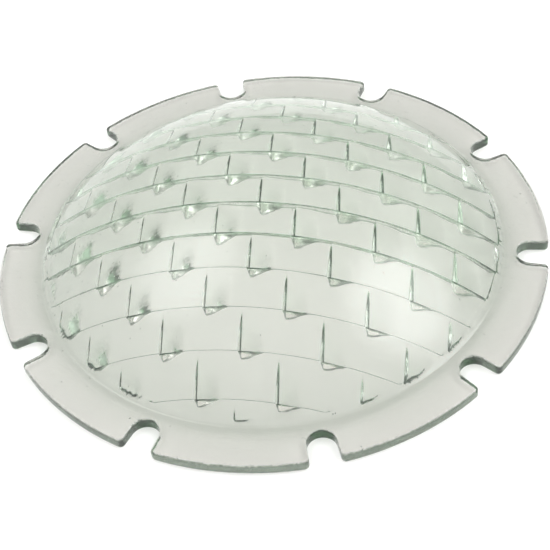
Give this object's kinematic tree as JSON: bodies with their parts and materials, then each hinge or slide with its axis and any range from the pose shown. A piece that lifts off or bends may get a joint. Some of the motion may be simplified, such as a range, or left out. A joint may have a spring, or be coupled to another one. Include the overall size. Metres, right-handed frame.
{
  "type": "prismatic lamp lens",
  "caption": "Round pressed-glass lamp lens: shallow dome with brick-laid prisms inside and a flat flange notched for clamp screws.",
  "frame": {"origin": "centre of the seat plane under the flange", "axes": "+Z from the seat plane towards the crown of the dome, +X along the prism rows and through the middle of a notch"},
  "size_m": [0.2126, 0.213, 0.04],
  "materials": {
    "glass": "clear pressed glass, smooth outside, faint green cast"
  },
  "bodies": {
    "root": {"lens": "glass"}
  },
  "joints": []
}
